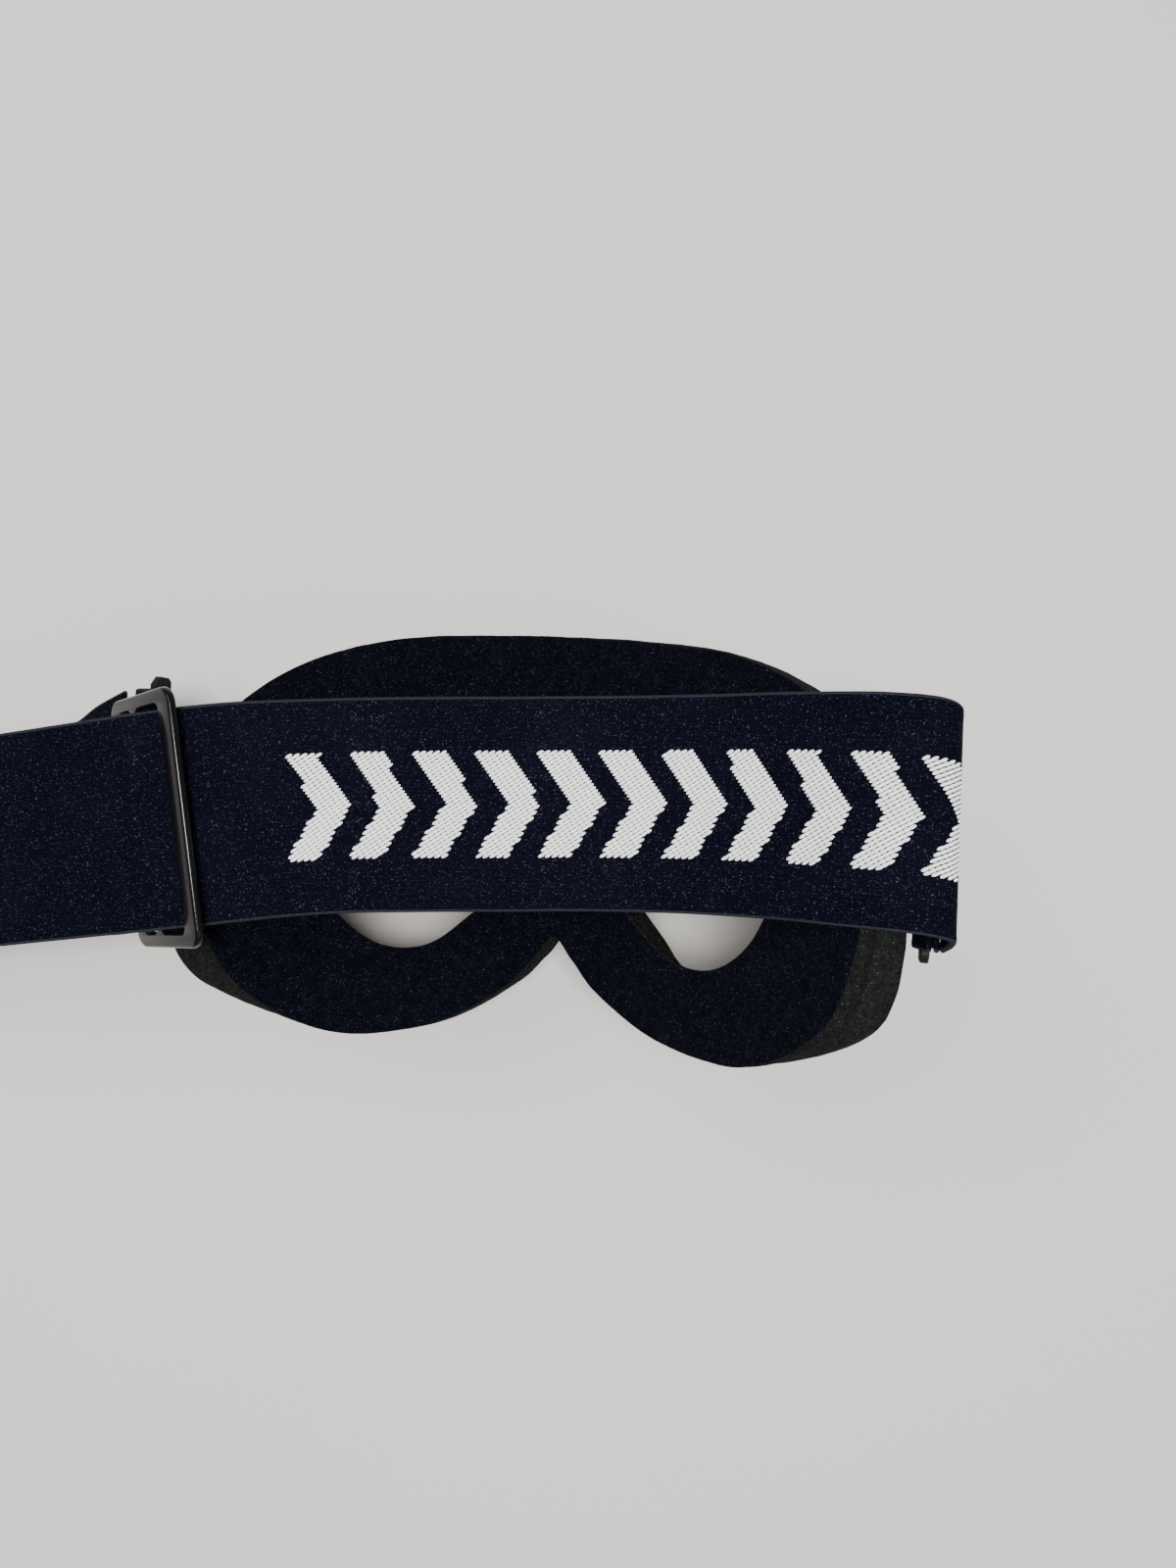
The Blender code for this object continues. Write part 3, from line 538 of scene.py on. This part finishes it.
def make_face_pad():
    """Two foam layers and the fleece, each with rounded edges and a soft uneven surface."""
    bottom = above(frame_back, 2 * GAP)
    base_top = above(bottom, BASE_FOAM)
    face_top = above(base_top, GAP + TOP_FOAM)
    fleece_back = above(face_top, GAP)
    fleece_top = above(fleece_back, FLEECE)
    share = BASE_FOAM / (BASE_FOAM + TOP_FOAM)
    base_outer, face_outer = outline(BASE_OUTLINE), outline(FACE_OUTLINE)
    base_inner, face_inner = outline(FRAME_OPENING, -0.5), outline(FACE_OPENING)
    middle_outer = [a.lerp(b, share) for a, b in zip(base_outer, face_outer)]
    middle_inner = [a.lerp(b, share) for a, b in zip(base_inner, face_inner)]
    base = soft_ring(
        "face_foam_base_soft",
        [(base_outer, bottom), (base_inner, bottom), (middle_inner, base_top),
         (middle_outer, base_top)],
        foam_look("base_foam_look", (0.0050, 0.0053, 0.0052), (0.0150, 0.0158, 0.0156)),
        [1.2, 0.8, 0.9, 1.2], [6, 8, 6, 8], [0, 0.4, 0, 0.7], (0.18, 6.0))
    goggles_piece(base, "foam_grey", "face_foam_base")
    top = soft_ring(
        "face_foam_top_soft",
        [(middle_outer, above(base_top, GAP)), (middle_inner, above(base_top, GAP)),
         (face_inner, face_top), (face_outer, face_top)],
        foam_look("top_foam_look", (0.0046, 0.0049, 0.0048), (0.0134, 0.0142, 0.0140)),
        [0.9, 0.9, 1.2, 1.4], [6, 6, 6, 6], [0, 0.3, 0, 0.5], (0.16, 6.0))
    goggles_piece(top, "foam_charcoal", "face_foam_top")
    fleece = soft_ring(
        "face_fleece_soft",
        [(outline(FACE_OUTLINE, -0.2), fleece_back), (outline(FACE_OPENING, 0.3), fleece_back),
         (outline(FACE_OPENING, 0.3), fleece_top), (outline(FACE_OUTLINE, -0.1), fleece_top)],
        fleece_look(), [0.6, 0.6, 1.4, 1.4], [10, 1, 26, 1], [0, 0, 0.35, 0], (0.14, 7.0))
    goggles_piece(fleece, "fleece_navy", "face_fleece")


def make_vent_foam():
    """Foam strips behind the vents; each gets thinner towards its two ends."""
    seat, opening = outline(LENS_OUTLINE, -SEAT_WIDTH), outline(FRAME_OPENING)

    def wall(share, inwards):
        """The frame's inner wall at a share of its height, moved inwards."""
        return moved_out([a.lerp(b, share) for a, b in zip(seat, opening)], -inwards)

    def middle(u):
        return (lens_front(u) + frame_back(u)) / 2

    low, high = above(middle, -3.3), above(middle, 7.6)
    clear, deep = 0.6, 2.4
    outer = (wall(0.1, clear), wall(0.78, clear))
    inner = (wall(0.1, deep), wall(0.78, deep))
    steps, count = OUTLINE_STEPS, len(seat)
    top_end, start, end = (int(spot * steps) for spot in (3.2, 6.75, 9.0))
    spans = {
        "vent_foam_top": (-top_end, top_end),
        "vent_foam_bottom_right": (start, end),
        "vent_foam_bottom_left": (count - end, count - start),
    }
    look = foam_look("vent_foam_look", (0.012, 0.012, 0.013), (0.07, 0.07, 0.072))
    for name, (first, last) in spans.items():
        near = [list(line) for line in inner]
        for place in range(first, last + 1):
            fullness = 0.2 + 0.8 * min(1.0, (place - first) / steps, (last - place) / steps)
            spot = place % count
            for line, far, whole in zip(near, outer, inner):
                line[spot] = far[spot].lerp(whole[spot], fullness)
        section = [(outer[0], low), (near[0], low), (near[1], high), (outer[1], high)]
        strip = soft_ring(f"{name}_soft", section, look, [0.5] * 4, [1, 5, 1, 5],
                          [0, 0.1, 0, 0.1], (0.08, 3.0), 3, (first, last))
        goggles_piece(strip, name, name)


# ---- strap -----------------------------------------------------------------------------
def resampled(stations, step):
    """Stations of (point, angle) at even distances along the line."""
    lengths = [0.0]
    for (a, _), (b, _) in zip(stations, stations[1:]):
        lengths.append(lengths[-1] + (b - a).length)
    count = max(2, round(lengths[-1] / step))
    even, index = [], 0
    for number in range(count + 1):
        target = lengths[-1] * number / count
        while index < len(lengths) - 2 and lengths[index + 1] < target:
            index += 1
        share = (target - lengths[index]) / max(1e-9, lengths[index + 1] - lengths[index])
        (a, first), (b, second) = stations[index], stations[index + 1]
        even.append((a.lerp(b, share), first + (second - first) * share, target))
    return even


class Strip:
    """A stretch of webbing along stations, and the map from strap distances to the world."""

    def __init__(self, stations, start=0.0):
        self.rows = []
        even = resampled(stations, ROW_LENGTH)
        for index, (point, angle, distance) in enumerate(even):
            before = even[max(0, index - 1)][0]
            after = even[min(len(even) - 1, index + 1)][0]
            along = (after - before).normalized()
            across = Vector((-math.sin(angle), math.cos(angle), 0))
            outward = across.cross(along).normalized()
            self.rows.append((point, across, outward, start + distance))
        self.length = even[-1][2]
        self.start = start

    def place(self, distance, across, height):
        """World point at a distance along the strap, across it and above its middle."""
        step = self.length / (len(self.rows) - 1)
        spot = min(max((distance - self.start) / step, 0.0), len(self.rows) - 1.001)
        index, share = int(spot), spot - int(spot)
        a, b = self.rows[index], self.rows[index + 1]
        point, side, out = (a[k].lerp(b[k], share) for k in range(3))
        return point + side * across + out * height


def cross_section(thickness):
    """(across, height) points round the strap's section, with beaded selvedges."""
    half, edge = STRAP_WIDTH / 2, thickness / 2
    bead_width, bead_height = 1.9, 0.06
    spots = [-half + edge * (1 - math.cos(math.pi * k / 10)) for k in range(5)]
    inner = [-half + edge + 0.4, -half + 1.8, -half + 2.1]
    plain = [-half + 3 + (STRAP_WIDTH - 6) * k / 14 for k in range(15)]
    left = spots + inner
    whole = left + plain + [-spot for spot in reversed(left)]
    upper = []
    for spot in whole:
        depth = abs(spot) - (half - edge)
        level = edge if depth <= 0 else math.sqrt(max(0.0, edge**2 - depth**2))
        if abs(spot) > half - bead_width and depth < 0.5 * edge:
            level += bead_height
        upper.append((spot, level))
    lower = [(spot, -level) for spot, level in reversed(upper[1:-1])]
    return upper + lower


def webbing(name, strip, thickness):
    """A mesh of the strip with its section, and strap distances as its UV map."""
    section = cross_section(thickness)
    verts, faces, uvs = [], [], []
    size = len(section)
    for point, side, out, distance in strip.rows:
        for across, height in section:
            verts.append(point + side * across + out * height)
            uvs.append((distance / 100, across / 100))
    for row in range(len(strip.rows) - 1):
        for index in range(size):
            after = (index + 1) % size
            here, there = row * size, (row + 1) * size
            faces.append((here + index, here + after, there + after, there + index))
    last = (len(strip.rows) - 1) * size
    faces.append(tuple(range(size)))
    faces.append(tuple(reversed(range(last, last + size))))
    return finish_mesh(name, verts, faces, webbing_look(f"{name}_look"), uvs=uvs)


def with_turns(points, first, last):
    """Stations with the cross line turning evenly from one direction to another."""
    return [(point, math.radians(first + (last - first) * index / (len(points) - 1)))
            for index, point in enumerate(points)]


def ridge(spot):
    """How far the strap stands up over the slider's bars, at a distance from its centre."""
    bars = ((1.0, -2.6, 2.2), (0.9, -10.4, 2.4))
    return sum(rise * math.exp(-((spot - bar) / spread)**2) for rise, bar, spread in bars)


def main_stations():
    """The strap's long stretch, from the right arm to the bottom of the left fold."""
    slope_steps, turn_reach = 75, 34
    down = SLOPE_FRAME @ Vector((-1, 0, 0))
    start, foot = SLOPE_TOP + 2 * down, SLOPE_TOP + SLOPE_LENGTH * down
    upper = smooth_line(UPPER_RUN + [start], 8)
    slope = []
    for step in range(1, slope_steps):
        point = start.lerp(foot, step / slope_steps)
        from_slider = SLIDER_DISTANCE - (point - SLOPE_TOP).length
        slope.append(point + SLOPE_FRAME @ Vector((0, 0, ridge(from_slider))))
    fold = smooth_line([foot] + LEFT_FOLD, 12)
    side = smooth_line(RIGHT_SIDE + [UPPER_RUN[1]], 8)[:-8]
    stations = [(point + CENTRING, angle) for point, angle in with_turns(side, YAW, 0.0)][:-1]
    for point in upper + slope + fold:
        share = min(1.0, max(0.0, (SLOPE_TOP.x + turn_reach - point.x) / turn_reach))
        angle = math.radians(SLOPE_TURN * share**2 * (3 - 2 * share))
        stations.append((point + CENTRING, angle))
    return stations


def in_frame(points, origin, turn):
    """Points of an X-Z plane in a frame, in the world."""
    return [origin + turn @ Vector((x, 0, z)) for x, z in points]


def half_turn(centre, radius, start, end, steps=16):
    """Points round a bar from a start angle to an end angle, in degrees."""
    points = []
    for step in range(steps + 1):
        angle = math.radians(start + (end - start) * step / steps)
        points.append((centre[0] + radius * math.cos(angle), centre[1] + radius * math.sin(angle)))
    return points


def pivot(side):
    """The arm's hinge axis in the world, in millimetres."""
    return placed(side * 95.2, 9.0, 50.0)


def bend_at_right(piece):
    """piece keeps its place in the world, with its transform baked into its mesh."""
    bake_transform(piece)


def make_strap():
    main = Strip(main_stations())
    piece = webbing("strap_main_woven", main, STRAP_THICKNESS)
    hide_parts("strap_main", "strap_left_fold", "strap_right_side")
    bend_at_right(piece)

    lower_points = [p + CENTRING for p in smooth_line(LEFT_LOWER, 10)]
    lower = Strip(with_turns(lower_points, SLOPE_TURN, YAW))
    piece = webbing("strap_left_lower_woven", lower, STRAP_THICKNESS)
    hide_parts("strap_left_lower")
    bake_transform(piece)

    end = SLOPE_TOP + SLOPE_FRAME @ Vector((-31.4 - SLIDER_DISTANCE, 0, -4.5))
    inner_points = [p + CENTRING for p in smooth_line(INNER_RUN + [end], 10)]
    stations = with_turns(inner_points, YAW, SLOPE_TURN)
    turning = 70
    lower_layer = Strip(stations[:turning + 1])
    piece = webbing("strap_inner_lower_woven", lower_layer, PLY)
    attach(piece, "goggles")
    upper_layer = Strip(stations[turning:], lower_layer.length)
    piece = webbing("strap_inner_upper_woven", upper_layer, PLY)
    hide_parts("strap_inner_layer")
    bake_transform(piece)

    bar = (0, ARM_LENGTH)
    right = [(1.9, ARM_LENGTH + 6.2), (2.2, ARM_LENGTH + 3.0)]
    right += half_turn(bar, ARM_LOOP_RADIUS, 10, -190)
    right += [(-1.2, ARM_LENGTH + 2.4), (0.4, ARM_LENGTH + 5.8)]
    points = in_frame(right, pivot(1), TURN)
    piece = webbing("strap_right_loop_woven",
                    Strip(with_turns(points, YAW, YAW)), PLY)
    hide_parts("strap_right_loop")
    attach(piece, "right_arm")

    left = [(-8.6, ARM_LENGTH - 8.56), (-6.5, ARM_LENGTH - 8.0), (-3.4, ARM_LENGTH - 4.6)]
    left += half_turn(bar, ARM_LOOP_RADIUS, -130, 75)
    left += [(-3.0, ARM_LENGTH + 1.6), (-5.0, ARM_LENGTH - 0.1)]
    points = in_frame(left, pivot(-1), TURN)
    piece = webbing("strap_left_loop_woven",
                    Strip(with_turns(points, YAW, YAW)), PLY)
    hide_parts("strap_left_loop")
    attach(piece, "left_arm")

    tilt = math.radians(SLIDER_TILT)
    centre = (CENTRE_BAR * math.cos(tilt), CENTRE_BAR * math.sin(tilt) - SLIDER_DROP)
    sewn = [(-26, -2.9), (-12, -2.7), (-7.5, -2.3)]
    sewn += half_turn(centre, LOOP_RADIUS, 90, -90)
    sewn += [(-8.5, -5.3), (-14, -4.5), (-31, -4.5)]
    points = in_frame(sewn, SLIDE_ORIGIN, SLOPE_FRAME)
    piece = webbing("strap_sewn_end_woven",
                    Strip(with_turns(points, SLOPE_TURN, SLOPE_TURN)), PLY)
    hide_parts("strap_sewn_end")
    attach(piece, "slider")
    return main


# ---- woven pattern ---------------------------------------------------------------------
PATTERN_HALF_HEIGHT = 12.0
PATTERN_START, PATTERN_END = 6.0, 161.0
CHEVRON_PITCH, CHEVRON_STROKE, CHEVRON_LEAN = 14.6, 7.6, 0.62
ROW_PITCH, STITCH_PITCH, ROW_SHIFT = 0.7, 1.6, 0.3
WOVEN_SLANT, WOVEN_SLANT_SPREAD, WOVEN_LIFT_SPREAD = 0.56, 0.06, 0.04
WOVEN_THREAD = (1.75, 0.78, 0.30)
TACK_THREAD, TACK_COUNT, TACK_HALF_WIDTH, TACK_LEAN = (2.3, 0.6, 0.3), 84, 23.2, 0.16


def in_pattern(along, across):
    """Whether a place on the strap lies in the row of chevrons."""
    from_edge = PATTERN_HALF_HEIGHT - abs(across)
    if from_edge < 0:
        return False
    return (along - CHEVRON_LEAN * from_edge) % CHEVRON_PITCH < CHEVRON_STROKE


def stitch_mesh(places, size_of_thread, name, look):
    """Short rounded threads; each place is (centre, along, across, outward)."""
    length, width, height = size_of_thread
    verts, faces = [], []
    rings = [(-0.5, 0.25), (-0.3, 0.85), (0.0, 1.0), (0.3, 0.85), (0.5, 0.25)]
    sides = [(-1.0, 0.0), (-0.6, 0.75), (0.0, 1.0), (0.6, 0.75), (1.0, 0.0)]
    for centre, along, across, outward in places:
        first = len(verts)
        for where, size in rings:
            for side, rise in sides:
                verts.append(centre + along * where * length
                             + across * side * size * width / 2 + outward * rise * size * height)
        for ring in range(len(rings) - 1):
            for side in range(len(sides) - 1):
                a = first + ring * len(sides) + side
                faces.append((a, a + 1, a + 1 + len(sides), a + len(sides)))
    return finish_mesh(name, verts, faces, look)


def make_pattern(main):
    """The white woven pattern: one short slanted thread for each place in each rib."""
    rng = random.Random(7)
    places = []
    surface = STRAP_THICKNESS / 2 + 0.02
    row = -int(PATTERN_HALF_HEIGHT / ROW_PITCH) - 1
    while row * ROW_PITCH <= PATTERN_HALF_HEIGHT:
        across = row * ROW_PITCH
        column = 0
        while True:
            distance = PATTERN_START + (column + ROW_SHIFT * row % 1) * STITCH_PITCH
            column += 1
            if distance > PATTERN_END:
                break
            if not in_pattern(PATTERN_END - distance, across):
                continue
            centre = main.place(distance, across, surface)
            ahead = main.place(distance + ROW_LENGTH, across, surface)
            beside = main.place(distance, across + ROW_LENGTH, surface)
            along = (centre - ahead).normalized()
            side = (beside - centre).normalized()
            outward = along.cross(side).normalized()
            slant = WOVEN_SLANT + rng.uniform(-WOVEN_SLANT_SPREAD, WOVEN_SLANT_SPREAD)
            lift = rng.uniform(-WOVEN_LIFT_SPREAD, WOVEN_LIFT_SPREAD)
            places.append((centre + outward * lift, (along + side * slant).normalized(),
                           (side - along * slant).normalized(), outward))
        row += 1
    piece = stitch_mesh(places, WOVEN_THREAD, "strap_woven_pattern", pattern_look())
    bend_at_right(piece)


# ---- hardware --------------------------------------------------------------------------
def rounded_box(low, high, half_width, radius, steps):
    """Points round a rectangle from low to high along X, with rounded corners."""
    points = []
    corners = ((high, half_width, 0), (low, half_width, 90), (low, -half_width, 180),
               (high, -half_width, 270))
    for x, y, start in corners:
        centre_x = x - math.copysign(radius, x - (low + high) / 2)
        centre_y = y - math.copysign(radius, y)
        for step in range(steps + 1):
            angle = math.radians(start + 90 * step / steps)
            points.append((centre_x + radius * math.cos(angle),
                           centre_y + radius * math.sin(angle)))
    return points


def make_slider():
    """The glossy three-bar slider, with well-rounded bars."""
    curve = bpy.data.curves.new("slider_gloss", "CURVE")
    curve.dimensions = "2D"
    curve.fill_mode = "BOTH"
    bevel = 0.75
    curve.extrude = 0.25 * MM
    curve.bevel_depth = bevel * MM
    curve.bevel_resolution = 4
    curve.offset = -bevel * MM
    opening = STRAP_WIDTH / 2 + 0.8
    shapes = [rounded_box(-15.5, 15.5, 29.5, 4.0, 10), rounded_box(-1.5, 9.5, opening, 1.4, 5),
              rounded_box(-10.5, -4.5, opening, 1.4, 5)]
    for shape in shapes:
        spline = curve.splines.new("POLY")
        spline.points.add(len(shape) - 1)
        spline.use_cyclic_u = True
        for point, (x, y) in zip(spline.points, shape):
            point.co = (x * MM, y * MM, 0, 1)
    guide = bpy.data.objects.new("slider_guide", curve)
    MESH.objects.link(guide)
    bpy.context.view_layer.update()
    mesh = bpy.data.meshes.new_from_object(
        guide.evaluated_get(bpy.context.evaluated_depsgraph_get()))
    bpy.data.objects.remove(guide)
    work = bmesh.new()
    work.from_mesh(mesh)
    bmesh.ops.remove_doubles(work, verts=work.verts, dist=0.00001)
    bmesh.ops.recalc_face_normals(work, faces=work.faces)
    work.to_mesh(mesh)
    work.free()
    mesh.materials.clear()
    mesh.materials.append(
        plastic_look("slider_look", (0.003, 0.003, 0.0035), 0.16, 900, 0.006,
                     worn=(0.006, 0.006, 0.007), coat=0.25, specular=0.09))
    mesh.shade_smooth()
    mesh.set_sharp_from_angle(angle=math.radians(40))
    made = bpy.data.objects.new("slider_gloss", mesh)
    MESH.objects.link(made)
    turn = SLOPE_FRAME @ rotation(-SLIDER_TILT, "Y")
    spot = SLIDE_ORIGIN + SLOPE_FRAME @ Vector((0, 0, -SLIDER_DROP))
    made.matrix_world = Matrix.Translation(spot * MM) @ turn.to_4x4()
    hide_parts("slider_frame")
    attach(made, "slider")


def make_tacks():
    """Rows of dense stitching that close the strap's two sewn loops."""
    rng = random.Random(11)
    thread = Look("thread_look", (0.02, 0.022, 0.034), 0.6, Sheen_Weight=0.3)
    thread.bump(thread.noise(2500, 2), 0.05, 0.5)
    jobs = (
        ("bar_tack_right_sewn", "bar_tack_right", "thread_right", "right_arm", pivot(1),
         TURN @ rotation(-5, "Y"), (2.85, ARM_LENGTH + 4.6), "X"),
        ("bar_tack_slider_sewn", "bar_tack_slider", "thread_slider", "slider", SLIDE_ORIGIN,
         SLOPE_FRAME, (-21.0, -5.45), "Z"),
    )
    for name, node, slot, body, origin, turn, spot, facing in jobs:
        centre = origin + turn @ Vector((spot[0], 0, spot[1]))
        outward = turn @ (Vector((1, 0, 0)) if facing == "X" else Vector((0, 0, -1)))
        length = turn @ (Vector((0, 0, 1)) if facing == "X" else Vector((1, 0, 0)))
        width = turn @ Vector((0, 1, 0))
        places = []
        for number in range(TACK_COUNT):
            across = TACK_HALF_WIDTH * (2 * number / (TACK_COUNT - 1) - 1)
            lean = TACK_LEAN if number % 2 else -TACK_LEAN
            lean += rng.uniform(-0.03, 0.03)
            places.append((centre + width * across - outward * 0.05,
                           (length + width * lean).normalized(),
                           (width - length * lean).normalized(), outward))
        piece = stitch_mesh(places, TACK_THREAD, name, thread.material)
        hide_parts(node)
        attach(piece, body)


def smooth_shading(degrees):
    """A node group that shows a mesh smooth across its edges below an angle."""
    tree = bpy.data.node_groups.new("smooth_shading", "GeometryNodeTree")
    for way in ("INPUT", "OUTPUT"):
        tree.interface.new_socket("Geometry", in_out=way, socket_type="NodeSocketGeometry")

    def node(kind, **inputs):
        made = tree.nodes.new(kind)
        for socket, value in inputs.items():
            slot = made.inputs[socket.replace("_", " ")]
            if isinstance(value, bpy.types.NodeSocket):
                tree.links.new(value, slot)
            else:
                slot.default_value = value
        return made

    whole = node("NodeGroupInput").outputs[0]
    plain = node("GeometryNodeRemoveAttribute", Geometry=whole, Name="custom_normal").outputs[0]
    welded = node("GeometryNodeMergeByDistance", Geometry=plain, Distance=0.01 * MM).outputs[0]
    angle = node("GeometryNodeInputMeshEdgeAngle").outputs["Unsigned Angle"]
    shallow = node("FunctionNodeCompare", A=angle, B=math.radians(degrees))
    shallow.operation = "LESS_THAN"
    faces = node("GeometryNodeSetShadeSmooth", Geometry=welded)
    edges = node("GeometryNodeSetShadeSmooth", Geometry=faces.outputs[0],
                 Shade_Smooth=shallow.outputs[0])
    edges.domain = "EDGE"
    node("NodeGroupOutput", Geometry=edges.outputs[0])
    return tree


def dress_cad():
    """Better materials and smooth shading on the CAD pieces that stay."""
    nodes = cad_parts
    black, deep = (0.010, 0.010, 0.011), (0.004, 0.004, 0.005)
    looks = {
        "frame_body": plastic_look("frame_look", black, 0.45, 1300, 0.05, specular=0.3),
        "strap_arm_left": plastic_look("arm_look_left", deep, 0.5, 1500, 0.03, specular=0.15),
        "strap_arm_right": plastic_look("arm_look_right", deep, 0.5, 1500, 0.03, specular=0.15),
        "arm_pin_left": steel_look(),
        "arm_pin_right": steel_look(),
    }
    smooth = smooth_shading(degrees=34)
    for name, look in looks.items():
        nodes[name].modifiers.new("smooth", "NODES").node_group = smooth
        for slot in nodes[name].material_slots:
            slot.material = look


# ---- studio ----------------------------------------------------------------------------
def make_studio():
    just_below = -0.2 * MM
    bpy.ops.mesh.primitive_plane_add(size=6.0, location=(0, 0, just_below))
    floor = bpy.context.active_object
    floor.name = "studio_floor"
    look = Look("studio_floor_look", (0.60, 0.575, 0.54), 0.9)
    look.colour(look.blend(look.noise(4, 3), (0.585, 0.56, 0.525), (0.63, 0.605, 0.57)))
    floor.data.materials.append(look.material)
    middle_of_object = Vector((0.04, 0, 0.04))
    for name, spot, size, power in (
        ("overhead", (0.10, 0.04, 1.15), 0.30, 20.5),
        ("key", (-0.50, 0.60, 1.15), 0.8, 8.5),
        ("fill", (0.95, -0.6, 1.0), 1.2, 4.0),
    ):
        light = bpy.data.lights.new(name, "AREA")
        light.energy = power
        light.size = size
        made = bpy.data.objects.new(name, light)
        MESH.objects.link(made)
        made.location = spot
        aim = middle_of_object - Vector(spot)
        made.rotation_euler = aim.to_track_quat("-Z", "Y").to_euler()
    world = bpy.data.worlds.new("studio")
    world.use_nodes = True
    world.node_tree.nodes["Background"].inputs[0].default_value = (0.95, 0.97, 1.0, 1)
    world.node_tree.nodes["Background"].inputs[1].default_value = 0.28
    bpy.context.scene.world = world
    camera = bpy.data.cameras.new("camera")
    camera.sensor_width = 48.0
    camera.lens = 36.0
    camera.clip_start = 0.01
    made = bpy.data.objects.new("camera", camera)
    MESH.objects.link(made)
    made.location = (Vector((68.0, 14.0, 338.0)) + CENTRING) * MM
    bpy.context.scene.camera = made


make_lenses()
make_face_pad()
make_vent_foam()
make_pattern(make_strap())
make_slider()
make_tacks()
dress_cad()
make_studio()
